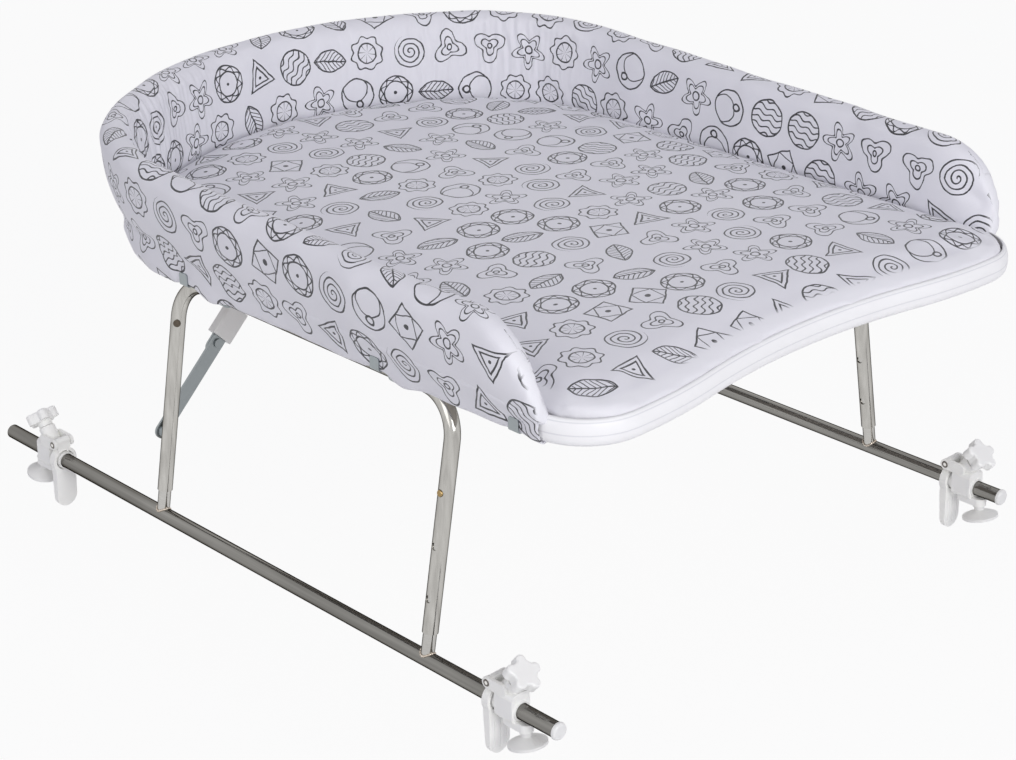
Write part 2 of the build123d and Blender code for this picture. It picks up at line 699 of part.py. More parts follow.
# Clamp knob: a star grip with five lobes on a short neck
with BuildPart() as clamp_knob:
    with BuildSketch(screw_plane.offset(knob_from)):
        Circle(knob_core / 2)
        with PolarLocations(lobe_circle, knob_lobes):
            Circle(lobe_dia / 2)
    extrude(amount=knob_thick)
    fillet(clamp_knob.edges().filter_by(Axis((0, 0, 0), screw_plane.z_dir)), lobe_dia / 4)
    fillet(clamp_knob.faces().sort_by(Axis((0, 0, 0), screw_plane.z_dir))[-1].edges(), lobe_dia / 5)
    with BuildSketch(screw_plane.offset(boss_to + knob_gap)):
        Circle(neck_dia / 2)
    extrude(amount=neck_length)
    with BuildSketch(screw_plane):
        Circle(clamp_screw_dia / 2)
    extrude(amount=screw_end, mode=Mode.SUBTRACT)

# Clamp foot: a rubber pad shaped like a mushroom that rests on the tub's rim
foot_low = foot_stem + foot_thick
with BuildPart() as clamp_foot:
    with BuildSketch(Plane(origin=foot_top, x_dir=(1, 0, 0), z_dir=(0, cos(tilt), -sin(tilt)))):
        with BuildLine():
            Polyline((0, 0), (foot_stem_dia / 2, 0), (foot_stem_dia / 2, foot_stem),
                     (foot_dia / 2, foot_low - foot_rim), (foot_dia / 2, foot_low), (0, foot_low), close=True)
        make_face()
    revolve(axis=Axis(foot_top, foot_axis))

clamp_pieces = {"body": clamp_body, "jaw": clamp_jaw, "pin": clamp_pin, "screw": clamp_screw, "knob": clamp_knob,
                "foot": clamp_foot}
clamp_places = {"front_left": Location((-rail_x, rail_y - front_left_clamp, rail_z)),
                "front_right": Location((rail_x, rail_y - front_right_clamp, rail_z)),
                "back_left": Location((-rail_x, rail_y + back_clamps, rail_z), (0, 0, 180)),
                "back_right": Location((rail_x, rail_y + back_clamps, rail_z), (0, 0, 180))}
for place, location in clamp_places.items():
    for name, piece in clamp_pieces.items():
        with BuildPart() as placed:
            with Locations(location):
                add(piece.part)
        keep(placed.part, f"clamp_{name}_{place}")
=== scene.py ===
import bpy
import math
import numpy as np
from mathutils import Matrix, Vector, bvhtree, kdtree


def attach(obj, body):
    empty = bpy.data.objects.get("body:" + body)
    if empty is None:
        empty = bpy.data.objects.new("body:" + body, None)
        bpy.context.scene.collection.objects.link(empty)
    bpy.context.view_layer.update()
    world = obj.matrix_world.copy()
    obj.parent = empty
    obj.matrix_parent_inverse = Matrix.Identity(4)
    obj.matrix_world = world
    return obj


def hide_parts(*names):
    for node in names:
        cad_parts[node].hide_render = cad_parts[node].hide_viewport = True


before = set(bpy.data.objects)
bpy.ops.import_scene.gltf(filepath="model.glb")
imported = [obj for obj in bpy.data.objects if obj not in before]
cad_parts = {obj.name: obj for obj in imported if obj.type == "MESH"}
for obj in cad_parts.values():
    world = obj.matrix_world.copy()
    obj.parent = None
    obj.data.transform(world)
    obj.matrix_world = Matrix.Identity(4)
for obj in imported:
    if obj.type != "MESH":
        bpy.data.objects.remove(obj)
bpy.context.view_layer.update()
scene = bpy.context.scene


# Rails: two straight steel tubes that lie across the bath tub, drawn, polished and chromed.
# Their plating is smooth and dark at grazing angles, with a faint haze and fine draw marks along the tube.
class Wire:
    """One value in a finish; sums and products of wires write their own Math nodes."""

    def __init__(self, finish, socket):
        self.finish = finish
        self.socket = socket

    def math(self, operation, *values):
        return self.finish.node("Math", {"operation": operation}, dict(enumerate((self, *values))))["Value"]

    def __add__(self, other):
        return self.math("ADD", other)

    def __sub__(self, other):
        return self.math("SUBTRACT", other)

    def __mul__(self, other):
        return self.math("MULTIPLY", other)

    def __truediv__(self, other):
        return self.math("DIVIDE", other)

    def __lt__(self, other):
        return self.math("LESS_THAN", other)

    def __abs__(self):
        return self.math("ABSOLUTE")

    def __rsub__(self, other):
        return self * -1 + other


class Finish:
    """A finish being mixed: a material (or the room's light), its shader, and one way to add any node."""

    def __init__(self, name, kind=bpy.data.materials):
        self.material = kind.new(name)
        self.material.use_nodes = True
        self.tree = self.material.node_tree
        self.tree.nodes.clear()

    def node(self, kind, settings={}, sockets={}):
        node = self.tree.nodes.new("ShaderNode" + kind)
        for key, value in settings.items():
            setattr(node, key, value)
        for key, value in sockets.items():
            named = [s for s in node.inputs if s.name == key and s.enabled]
            socket = named[0] if named else node.inputs[key]
            if isinstance(value, Wire):
                self.tree.links.new(value.socket, socket)
            else:
                socket.default_value = value
        return {s.name: Wire(self, s) for s in node.outputs if s.enabled}

    def noise(self, scale, detail, where=None):
        where = where or self.node("TexCoord")["Object"]
        return self.node("TexNoise", {}, {"Vector": where, "Scale": scale, "Detail": detail})["Fac"]

    def mix(self, factor, one, two):
        return self.node("Mix", {"data_type": "RGBA"}, {"Factor": factor, "A": one, "B": two})["Result"]

    def along(self, sx, sy, sz):
        """The object's own coordinates, stretched, for grain that runs one way."""
        where = self.node("TexCoord")["Object"]
        return self.node("VectorMath", {"operation": "MULTIPLY"}, {0: where, 1: (sx, sy, sz)})["Vector"]

    def edges(self, low, high):
        """Nought on flat faces, one on sharp outer edges."""
        point = self.node("NewGeometry")["Pointiness"]
        return self.node("MapRange", {"interpolation_type": "SMOOTHSTEP"},
                         {"Value": point, "From Min": low, "From Max": high})["Result"]

    def bump(self, height, strength, distance):
        return self.node("Bump", {}, {"Strength": strength, "Distance": distance, "Height": height})["Normal"]

    def surface(self, **sockets):
        """Ends the finish with its shader; names are the shader's own, with _ for spaces."""
        named = {key.replace("_", " "): value for key, value in sockets.items()}
        shader = self.node("BsdfPrincipled", {}, named)["BSDF"]
        self.node("OutputMaterial", {}, {"Surface": shader})
        return self.material


def dress(material, *names):
    """Puts a finish on CAD nodes."""
    for name in names:
        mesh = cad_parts[name].data
        mesh.materials.clear()
        mesh.materials.append(material)


def sides(*names):
    return [f"{name}_{side}" for name in names for side in ("left", "right")]


EDGE_TINT = (0.04, 0.035, 0.03, 1)


def plated_tube(name, dark, pale, streaks, smooth):
    """Plated steel with a faint polish grain that runs one way on it; edges darken by the shader's tint."""
    metal = Finish(name)
    haze = metal.noise(9.0, 4.0)
    polish = metal.noise(200.0, 2.0, metal.along(*streaks))
    return metal.surface(Base_Color=metal.mix(polish * 0.7 + haze * 0.3, dark, pale), Metallic=1.0,
                         Roughness=haze * 0.06 + polish * 0.06 + smooth, Specular_Tint=EDGE_TINT,
                         Normal=metal.bump(polish, 0.03, 0.0004))


dress(plated_tube("polished_chrome", dark=(0.06, 0.057, 0.052, 1), pale=(0.40, 0.39, 0.37, 1),
                  streaks=(1, 0.02, 1), smooth=0.03),
      *sides("rail"))

# Stub tubes: short thinner tubes welded upright on the rails, on which the leg frames slide.
# They are chromed like the rails, with fine rings rubbed round them by the sliding legs.
dress(plated_tube("rubbed_chrome", dark=(0.34, 0.33, 0.315, 1), pale=(0.68, 0.67, 0.645, 1),
                  streaks=(1, 1, 14), smooth=0.06),
      *sides("stub_tubes"))

# Weld beads: a run of weld round the foot of each stub tube, where it stands on its rail.
# Bright rippled steel, tinted brown by the heat beside the run.
RAIL_X, RAIL_Y, RAIL_Z, RAIL_RADIUS = 0.311, 0.0115, 0.054, 0.0075
STUB_RADIUS = 0.00635
SPLAY = math.radians(9.9)
STUB_Y = (-0.2385, 0.1575)
BEAD = 0.0013
bead_steel = Finish("weld_steel")
ripple = bead_steel.noise(420.0, 2.0)
heat = bead_steel.noise(130.0, 2.0)
bead_tone = bead_steel.mix(heat, (0.26, 0.17, 0.10, 1), (0.78, 0.74, 0.68, 1))
bead_finish = bead_steel.surface(Base_Color=bead_tone, Metallic=1.0, Roughness=ripple * 0.25 + 0.12,
                                 Normal=bead_steel.bump(ripple, 0.4, 0.0006))


def grid_faces(rows, wide, ring=False, loop=False, start=0):
    """Four-sided faces between rows of points; a ring closes each row, a loop joins last row to first."""
    return [(start + k * wide + i, start + k * wide + (i + 1) % wide,
             start + (k + 1) % rows * wide + (i + 1) % wide, start + (k + 1) % rows * wide + i)
            for k in range(rows if loop else rows - 1) for i in range(wide if ring else wide - 1)]


def piece_from(name, verts, faces, material):
    """A new smooth mesh piece with one finish."""
    mesh = bpy.data.meshes.new(name)
    mesh.from_pydata([tuple(v) for v in verts], [], faces)
    mesh.update()
    piece = bpy.data.objects.new(name, mesh)
    scene.collection.objects.link(piece)
    mesh.materials.append(material)
    mesh.shade_smooth()
    return piece


around = np.linspace(0, 2 * math.pi, 96, endpoint=False)
about = np.linspace(0, 2 * math.pi, 10, endpoint=False)
for side, sign in (("left", -1), ("right", 1)):
    stub_up = np.array((-sign * math.sin(SPLAY), 0, math.cos(SPLAY)))
    stub_across = np.array((sign * math.cos(SPLAY), 0, math.sin(SPLAY)))
    verts, faces = [], []
    for y in STUB_Y:
        start = len(verts)
        for a in around:
            outward = math.cos(a) * np.array((0, 1, 0)) + math.sin(a) * stub_across
            rise = math.sqrt(RAIL_RADIUS ** 2 - (STUB_RADIUS * math.sin(a)) ** 2)
            middle = np.array((sign * RAIL_X, y, RAIL_Z)) + STUB_RADIUS * outward + rise * stub_up
            girth = BEAD * (1 + 0.12 * math.sin(17 * a) + 0.08 * math.sin(5 * a + y))
            verts += [middle + girth * (math.cos(b) * outward + math.sin(b) * stub_up) for b in about]
        faces += grid_faces(len(around), len(about), ring=True, loop=True, start=start)
    bead = piece_from(f"weld_beads_{side}", verts, faces, bead_finish)
    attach(bead, f"rail_{side}")

# Rail end caps: moulded white caps pushed on the front ends of the rails, and plugs in the back ends.
# Plain satin plastic with a faint moulded grain.
def white_plastic(name, tone, shade, clear):
    """Satin moulded plastic that lets a little light in; edges catch dust and wear a shade paler."""
    plastic = Finish(name)
    cloud = plastic.noise(30.0, 3.0)
    grain = plastic.noise(1800.0, 2.0)
    worn = plastic.edges(0.5, 0.62)
    body = plastic.mix(cloud, tone, shade)
    lit = plastic.mix(worn * 0.5, body, (min(1, tone[0] * 1.06), min(1, tone[1] * 1.06), tone[2], 1))
    return plastic.surface(Base_Color=lit, Roughness=cloud * 0.12 + 0.3, Subsurface_Weight=clear,
                           Subsurface_Radius=(0.004, 0.004, 0.004), Subsurface_Scale=0.6,
                           Normal=plastic.bump(grain, 0.12, 0.0002))


dress(white_plastic("cap_white", tone=(0.86, 0.86, 0.85, 1), shade=(0.80, 0.80, 0.79, 1), clear=0.15),
      *sides("rail_caps"))

# Rim clamps: four moulded nylon clamps that slide on the rails and grip the tub's rim between a
# hinged jaw and a foot. Body, jaw and star knob are white nylon with a slight glow at thin edges.
CLAMPS = ("front_left", "front_right", "back_left", "back_right")
nylon = white_plastic("clamp_nylon", tone=(0.96, 0.96, 0.935, 1), shade=(0.90, 0.90, 0.88, 1), clear=0.3)
for place in CLAMPS:
    dress(nylon, f"clamp_body_{place}", f"clamp_jaw_{place}", f"clamp_knob_{place}")

# Clamp pins and screws: turned steel, bright where they show in the cheeks and under the knobs.
# The screw carries a fine thread, seen as rings along it.
steel = Finish("turned_steel")
turned = steel.noise(120.0, 2.0, steel.along(4, 4, 30))
dress(steel.surface(Base_Color=steel.mix(turned, (0.45, 0.45, 0.46, 1), (0.66, 0.66, 0.67, 1)), Metallic=1.0,
                    Roughness=turned * 0.2 + 0.2, Normal=steel.bump(turned, 0.3, 0.0004)),
      *[f"clamp_screw_{place}" for place in CLAMPS], *sides("snap_spring"))
pin_steel = Finish("pin_steel")
ends = pin_steel.node("SeparateXYZ", {}, {0: pin_steel.node("TexCoord")["Generated"]})
ring_out = ((ends["Y"] - 0.5).math("POWER", 2) + (ends["Z"] - 0.5).math("POWER", 2)).math("SQRT") * 2
lathe = pin_steel.noise(900.0, 2.0)
# Painted shadow: the outer ring of each pin is mixed to near black as the shade in the gap round the pin,
# which leaves a bright steel centre.
painted_gap_shadow_ring = pin_steel.node("MapRange", {"interpolation_type": "SMOOTHSTEP"},
                          {"Value": ring_out + lathe * 0.1, "From Min": 0.35, "From Max": 0.75})["Result"]
pin_tone = pin_steel.mix(painted_gap_shadow_ring, (0.80, 0.79, 0.77, 1), (0.13, 0.115, 0.105, 1))
dress(pin_steel.surface(Base_Color=pin_tone, Metallic=1.0, Roughness=lathe * 0.2 + 0.15,
                        Normal=pin_steel.bump(painted_gap_shadow_ring + lathe * 0.2, 0.3, 0.0006)),
      *[f"clamp_pin_{place}" for place in CLAMPS])

# Clamp feet: soft pale rubber mushrooms that rest on the tub's rim.
# A touch see-through, with a matt skin that is polished a little where it rubs.
rubber = Finish("pale_rubber")
skin = rubber.noise(300.0, 3.0)
stain = rubber.noise(22.0, 3.0)
rubber_tone = rubber.mix(stain, (0.88, 0.88, 0.86, 1), (0.80, 0.80, 0.78, 1))
dress(rubber.surface(Base_Color=rubber_tone, Roughness=stain * 0.2 + 0.38, Subsurface_Weight=0.35,
                     Subsurface_Radius=(0.006, 0.006, 0.006), Subsurface_Scale=0.6,
                     Normal=rubber.bump(skin, 0.15, 0.0003)),
      *[f"clamp_foot_{place}" for place in CLAMPS])

# Leg frames: steel tube bent to a U, nickel plated and left a little softer than the rails.
# Long faint streaks run with the tube, and the tone is warm.
dress(plated_tube("satin_nickel", dark=(0.24, 0.23, 0.215, 1), pale=(0.76, 0.745, 0.71, 1),
                  streaks=(1, 1, 0.06), smooth=0.08),
      *sides("leg_frame"))

# Snap buttons and stop rivets: small pieces set in the legs, the buttons brass and the rivets blackened.
# The buttons' domes carry a painted highlight in pale brass where they curve most sharply, and the rest is
# dull and brownish.
brass = Finish("dull_brass")
tarnish = brass.noise(260.0, 3.0)
bright = brass.edges(0.48, 0.6)
dull = brass.mix(tarnish, (0.22, 0.14, 0.06, 1), (0.40, 0.28, 0.12, 1))
# Painted highlight: the most curved parts of each button are mixed toward pale brass.
brass_tone = brass.mix(bright, dull, (0.66, 0.5, 0.26, 1))
dress(brass.surface(Base_Color=brass_tone, Metallic=1.0, Roughness=tarnish * 0.25 + 0.15),
      *sides("snap_button"))
rivet = Finish("dark_rivet")
tarnish = rivet.noise(300.0, 3.0)
rivet_tone = rivet.mix(tarnish, (0.04, 0.035, 0.03, 1), (0.16, 0.13, 0.10, 1))
dress(rivet.surface(Base_Color=rivet_tone, Metallic=0.9, Roughness=tarnish * 0.3 + 0.25,
                    Normal=rivet.bump(tarnish, 0.2, 0.0004)),
      *sides("stop_rivet"))

# Stays: flat pressed bars with rivets, bolts and spacers, plated with bluish zinc that has dulled.
# Saddles, brackets, clips and screws under the tray have the same plating, a shade paler.
# It shows fine spangles.
def zinc_plate(name, dark, pale):
    """Dull bluish plating with spangles, brighter along worn edges."""
    zinc = Finish(name)
    where = zinc.node("TexCoord")["Object"]
    spangle = zinc.node("TexVoronoi", {"feature": "F1"}, {"Vector": where, "Scale": 240.0})
    grey = zinc.node("RGBToBW", {}, {"Color": spangle["Color"]})["Val"]
    cloud = zinc.noise(40.0, 4.0)
    worn = zinc.edges(0.5, 0.6)
    plate = zinc.mix(grey * 0.5 + cloud * 0.5, dark, pale)
    return zinc.surface(Base_Color=zinc.mix(worn * 0.5, plate, (0.5, 0.53, 0.55, 1)), Metallic=0.9,
                        Roughness=cloud * 0.2 + grey * 0.1 + 0.22, Normal=zinc.bump(cloud, 0.1, 0.0005))


dress(zinc_plate("stay_zinc", dark=(0.06, 0.075, 0.076, 1), pale=(0.15, 0.175, 0.178, 1)),
      *sides("stay_upper", "stay_lower", "stay_rivet", "stay_bolt", "stay_spacer"))
dress(zinc_plate("tray_zinc", dark=(0.13, 0.16, 0.165, 1), pale=(0.27, 0.31, 0.315, 1)),
      "edge_clips", "underside_screws", "hinge_saddles", "stay_brackets", "bracket_pins")

# Lock sleeves: white plastic sleeves that slide along the stays over the knee.
# Moulded with rounded edges, and a little grime worn in.
dress(white_plastic("sleeve_white", tone=(0.88, 0.875, 0.865, 1), shade=(0.80, 0.795, 0.785, 1), clear=0.12),
      *sides("lock_sleeve"))
for name in sides("lock_sleeve"):
    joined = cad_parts[name].modifiers.new("joined", "WELD")
    joined.merge_threshold = 0.00001
    soft_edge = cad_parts[name].modifiers.new("soft_edge", "BEVEL")
    soft_edge.width = 0.0011
    soft_edge.segments = 3
    soft_edge.angle_limit = math.radians(40)
    soft_edge.harden_normals = True

# Base board: a pale pressed panel under the padding, seen only from below.
# Fine fibres and faint long clouds show in its surface.
panel = Finish("pressed_panel")
fibre = panel.noise(160.0, 4.0, panel.along(1, 4, 1))
cloud = panel.noise(7.0, 3.0)
panel_tone = panel.mix(fibre * 0.6 + cloud * 0.4, (0.62, 0.58, 0.52, 1), (0.78, 0.75, 0.70, 1))
dress(panel.surface(Base_Color=panel_tone, Roughness=fibre * 0.2 + 0.55,
                    Normal=panel.bump(fibre, 0.15, 0.0005)),
      "base_board")

# Pad: a flat foam cushion in the tray's outline, sewn into coated white cloth printed with thin black line
# drawings. It is crowned, softly rounded at its edge, and drawn down a little along the front.
PAD_Z = 0.325
HALF = 0.300
HEAD_CORNER = 0.186
HEAD_RADIUS = 0.376
HEAD_TOP = RAIL_Y + 0.347
CORNER = 0.060
LOBE_ACROSS, LOBE_REACH = 0.240, 0.024
FRONT_MIDDLE = RAIL_Y - 0.412
DIP = 2 * math.atan(LOBE_REACH / LOBE_ACROSS)
DIP_RADII = LOBE_ACROSS / math.sin(DIP)
DIP_SHARE, LOBE_SHARE = 0.58, 0.42
HEAD_ANGLE = math.asin((HALF - HEAD_CORNER) / (HEAD_RADIUS - HEAD_CORNER))
SPRING_Y = HEAD_TOP - HEAD_RADIUS + (HEAD_RADIUS - HEAD_CORNER) * math.cos(HEAD_ANGLE)


def arc(centre, radius, start, end, count):
    angles = np.linspace(start, end, count)
    return np.array(centre) + radius * np.column_stack((np.cos(angles), np.sin(angles)))


def evenly(points, count, closed=False):
    """The same line with its points evenly spaced."""
    if closed:
        points = np.vstack((points, points[:1]))
    run = np.concatenate(([0], np.cumsum(np.linalg.norm(np.diff(points, axis=0), axis=1))))
    want = np.linspace(0, run[-1], count + 1)[:-1] if closed else np.linspace(0, run[-1], count)
    return np.column_stack([np.interp(want, run, points[:, k]) for k in range(points.shape[1])])


def tray_outline(inset, front, count):
    """The tray's plan, so far inside the board's edge at sides and front, from the middle of the front."""
    quarter = math.pi / 2
    dip_radius = DIP_SHARE * DIP_RADII + front
    lobe_radius = LOBE_SHARE * DIP_RADII - front
    dip = arc((0, FRONT_MIDDLE + front - dip_radius), dip_radius, quarter, quarter - DIP, 24)
    lobe = arc(dip[-1] + lobe_radius * np.array((math.sin(DIP), math.cos(DIP))), lobe_radius,
               -quarter - DIP, -quarter, 16)
    corner = arc(lobe[-1] + (0, CORNER - inset), CORNER - inset, -quarter, 0, 16)
    turn = arc((HALF - HEAD_CORNER, SPRING_Y), HEAD_CORNER - inset, 0, quarter - HEAD_ANGLE, 30)
    head = arc((0, HEAD_TOP - HEAD_RADIUS), HEAD_RADIUS - inset, quarter - HEAD_ANGLE, quarter, 30)
    half = np.vstack((dip, lobe[1:], corner[1:], turn, head[1:]))
    return evenly(np.vstack((half, (half * (-1, 1))[-2:0:-1])), count, closed=True)


def ramp(value, start, run):
    """Nought up to a start, one from a run beyond it."""
    return np.clip((value - start) / run, 0, 1)


def points_of(piece):
    co = np.empty(len(piece.data.vertices) * 3)
    piece.data.vertices.foreach_get("co", co)
    return co.reshape(-1, 3)


def put_points(piece, co):
    piece.data.vertices.foreach_set("co", co.ravel())
    piece.data.update()


def bake(piece):
    """Applies a piece's modifiers."""
    graph = bpy.context.evaluated_depsgraph_get()
    mesh = bpy.data.meshes.new_from_object(piece.evaluated_get(graph))
    piece.modifiers.clear()
    piece.data = mesh
    mesh.shade_smooth()


SWELL_FRAMES = 20


def stuff(piece, voxel, held_below, pressure, most):
    """Fills a sewn cover: an even mesh, blown up as cloth with its underside held, never past a limit."""
    remesh = piece.modifiers.new("even", "REMESH")
    remesh.mode = "VOXEL"
    remesh.voxel_size = voxel
    bake(piece)
    smooth = piece.modifiers.new("ease", "SMOOTH")
    smooth.iterations = 4
    bake(piece)
    rest = points_of(piece)
    held = piece.vertex_groups.new(name="held")
    held.add([int(i) for i in np.where(rest[:, 2] < held_below)[0]], 1.0, "REPLACE")
    cloth = piece.modifiers.new("cloth", "CLOTH")
    cloth.settings.quality = 4
    cloth.settings.mass = 0.25
    cloth.settings.tension_stiffness = 25
    cloth.settings.compression_stiffness = 25
    cloth.settings.bending_stiffness = 2.0
    cloth.settings.use_pressure = True
    cloth.settings.uniform_pressure_force = pressure
    cloth.settings.vertex_group_mass = "held"
    cloth.settings.effector_weights.gravity = 0
    cloth.collision_settings.use_collision = False
    for number in range(1, SWELL_FRAMES + 1):
        scene.frame_set(number)
    bake(piece)
    moved = points_of(piece) - rest
    length = np.linalg.norm(moved, axis=1, keepdims=True)
    put_points(piece, rest + moved * np.minimum(1, most / np.maximum(length, 1e-9)))
    scene.frame_set(1)
    finer = piece.modifiers.new("finer", "SUBSURF")
    finer.levels = 1
    finer.render_levels = 1
    bake(piece)


def keep_layout(piece, coords):
    """Stores where each point lies on the flat cloth, for the print."""
    layout = piece.data.attributes.new("cloth_layout", "FLOAT_VECTOR", "POINT")
    flat = np.column_stack((coords, np.zeros(len(coords))))
    layout.data.foreach_set("vector", flat.astype(np.float32).ravel())


def keep_value(piece, name, values):
    """Stores one number for each point, for the cloth's finish."""
    kept = piece.data.attributes.new(name, "FLOAT", "POINT")
    kept.data.foreach_set("value", values.astype(np.float32))


def printed_cloth():
    """Coated white cloth with an all-over print: rows of simple line drawings, each turned its own way."""
    cloth = Finish("printed_cloth")
    flat = cloth.node("Attribute", {"attribute_name": "cloth_layout"})["Vector"]
    wobble = cloth.node("TexNoise", {}, {"Vector": flat, "Scale": 55.0, "Detail": 1.0})["Color"]
    wobble = cloth.node("VectorMath", {"operation": "SUBTRACT"}, {0: wobble, 1: (0.5, 0.5, 0.5)})["Vector"]
    wobble = cloth.node("VectorMath", {"operation": "SCALE"}, {0: wobble, "Scale": 0.0045})["Vector"]
    drawn = cloth.node("SeparateXYZ", {}, {0: cloth.node("VectorMath", {"operation": "ADD"},
                                                         {0: flat, 1: wobble})["Vector"]})
    row_pitch, motif_pitch, drawn_size, row_shift, stray = 0.0455, 0.0485, 0.88, 0.37, 0.1
    row = drawn["Y"] / row_pitch
    row_number = row.math("FLOOR")
    column = drawn["X"] / motif_pitch + row_number * row_shift
    column_number = column.math("FLOOR")
    cell = cloth.node("CombineXYZ", {}, {"X": column_number, "Y": row_number})["Vector"]
    chance = cloth.node("TexWhiteNoise", {"noise_dimensions": "2D"}, {"Vector": cell})
    toss = cloth.node("SeparateColor", {}, {"Color": chance["Color"]})
    full_turn = 6.283
    turn = toss["Red"] * full_turn
    x = (column - column_number - 0.5 + (toss["Green"] - 0.5) * stray) * drawn_size
    y = (row - row_number - 0.5 + (toss["Blue"] - 0.5) * stray) * drawn_size
    c, s = turn.math("COSINE"), turn.math("SINE")
    u = x * c - y * s
    v = x * s + y * c
    far = (u * u + v * v).math("SQRT")
    angle = v.math("ARCTAN2", u)
    line = 0.0155

    def ring(at, size, width=line):
        return abs(at - size) < width

    def either(*marks):
        out = marks[0]
        for mark in marks[1:]:
            out = out.math("MAXIMUM", mark)
        return out

    def petals(count, size, deep):
        return ring(far, (angle * count).math("COSINE") * deep + size)

    def stripes(at, pitch, width):
        return abs((at / pitch).math("FRACT") - 0.5) < width

    spiral_pitch = 0.105
    inside = far < 0.36
    lens = ((abs(u) + 0.22).math("POWER", 2) + v * v).math("SQRT")
    triangle = (abs(u) * 0.866 + v * 0.5).math("MAXIMUM", v * -1)
    drawings = [
        either(ring(far, 0.37), ring(far, 0.25), petals(9, 0.31, 0.035), far < 0.035),
        either(petals(5, 0.29, 0.1), petals(5, 0.2, 0.06), ring(far, 0.08)),
        either(ring(lens, 0.44), (abs(u) < line) * (abs(v) < 0.36),
               stripes(v - abs(u) * 0.9, 0.1, line * 8) * (lens < 0.42)),
        either(ring(abs(u).math("MAXIMUM", abs(v)), 0.28), ring(abs(u) + abs(v), 0.28), far < 0.05),
        either(ring(far, 0.36), stripes(v + (u * 22).math("SINE") * 0.03, 0.13, line * 7.5) * inside),
        either(petals(8, 0.33, 0.03), ring(far, 0.2), stripes(angle, 0.785, 0.05) * (far < 0.2)),
        stripes(far - angle / full_turn * spiral_pitch, spiral_pitch, line * 9) * inside,
        either(petals(3, 0.28, 0.09), petals(3, 0.15, 0.05), ring(far, 0.05)),
        either(ring(triangle, 0.19), ring(triangle, 0.11), far < 0.03),
        either(ring(far, 0.36), ring((u - 0.14).math("POWER", 2) + v * v, 0.075, 0.007) * inside,
               ring((u + 0.2).math("POWER", 2) + v * v, 0.006, 0.003)),
    ]
    lot = (toss["Red"] * 0.37 + toss["Blue"] * 0.61 + toss["Green"]).math("FRACT")
    pick = (lot * len(drawings)).math("FLOOR")
    ink = drawings[0] * 0
    for number, drawing in enumerate(drawings):
        ink = ink + drawing * pick.math("COMPARE", number, 0.1)
    bare = cloth.node("Attribute", {"attribute_name": "bare"})["Fac"]
    ink = ink.math("MINIMUM", 1.0) * (1 - bare)
    soft = cloth.noise(14.0, 3.0)
    white = cloth.mix(soft, (0.78, 0.775, 0.83, 1), (0.85, 0.845, 0.89, 1))
    white = cloth.mix(bare * 0.5, white, (0.90, 0.90, 0.93, 1))
    thread = cloth.node("TexWave", {"wave_type": "BANDS", "bands_direction": "X"},
                        {"Vector": flat, "Scale": 260.0, "Distortion": 0.6})["Fac"]
    cross = cloth.node("TexWave", {"wave_type": "BANDS", "bands_direction": "Y"},
                       {"Vector": flat, "Scale": 260.0, "Distortion": 0.6})["Fac"]
    crumple = cloth.noise(26.0, 4.0)
    drawn_in = cloth.node("Attribute", {"attribute_name": "drawn_in"})["Fac"]
    pleats = cloth.node("TexWave", {"wave_type": "BANDS", "bands_direction": "X"},
                        {"Vector": flat, "Scale": 42.0, "Distortion": 3.0, "Detail": 2.0,
                         "Detail Scale": 0.6})["Fac"]
    weave = cloth.bump(thread * cross * 0.4 + crumple * 2.0 + pleats * drawn_in * 3.0, 0.22, 0.0012)
    return cloth.surface(Base_Color=cloth.mix(ink, white, (0.035, 0.035, 0.04, 1)),
                         Roughness=soft * 0.15 + 0.52 - ink * 0.05, Sheen_Weight=0.15, Sheen_Roughness=0.5,
                         Normal=weave)


cover_cloth = printed_cloth()
PAD_SIDE = 0.0103
PAD_FRONT = 0.0003
PAD_POINTS = 240
CROWN, CROWN_HALF = 0.0065, 0.29
SHOULDER = 0.016
profile = [(0.030, 0.0002), (0.005, 0.0002), (0.0012, 0.0022), (0.0, 0.0065), (0.0004, 0.0105),
           (0.0024, 0.0145), (0.0064, 0.0182), (0.0125, 0.0208), (0.024, 0.0222)]
loops = []
for inset, rise in profile:
    line = tray_outline(PAD_SIDE + inset, PAD_FRONT + inset, PAD_POINTS)
    loops.append(np.column_stack((line, np.full(PAD_POINTS, PAD_Z + rise))))


def closed_tube(loops):
    """Points and faces of a skin through closed rows of points, with a face at each end."""
    wide, last = len(loops[0]), (len(loops) - 1) * len(loops[0])
    ends = [tuple(range(wide - 1, -1, -1)), tuple(range(last, last + wide))]
    return np.vstack(loops), grid_faces(len(loops), wide, ring=True) + ends


pad = piece_from("pad_cushion", *closed_tube(loops), cover_cloth)
stuff(pad, voxel=0.006, held_below=PAD_Z + 0.011, pressure=1.8, most=0.003)
co = points_of(pad)
crown = np.clip(1 - (co[:, 0] / CROWN_HALF) ** 2, 0, 1) * ramp(co[:, 2] - PAD_Z, start=0.008, run=0.014)
front = ramp(co[:, 1] - RAIL_Y, start=-0.424, run=0.12)
co[:, 2] += CROWN * crown * front * (2 - front)
put_points(pad, co)
front_face = np.maximum(PAD_Z + SHOULDER - co[:, 2], 0) * ramp(RAIL_Y - 0.37 - co[:, 1], start=0, run=0.01)
keep_layout(pad, co[:, :2] - np.column_stack((np.zeros(len(co)), front_face)))
PLAIN_MARGIN = 0.020
FINE_POINTS = 1600


def near_line(points):
    """Finds the nearest of a line's points in plan."""
    tree = kdtree.KDTree(len(points))
    for number, point in enumerate(points):
        tree.insert((*point, 0), number)
    tree.balance()
    return tree


edge_line = tray_outline(PAD_SIDE, PAD_FRONT, FINE_POINTS)
near_front = near_line(edge_line[edge_line[:, 1] < RAIL_Y - 0.36])
from_front = np.array([near_front.find((p[0], p[1], 0))[2] for p in co])
keep_value(pad, "bare", ramp(PLAIN_MARGIN - from_front, start=0, run=0.004))
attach(pad, "tray")
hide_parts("pad")

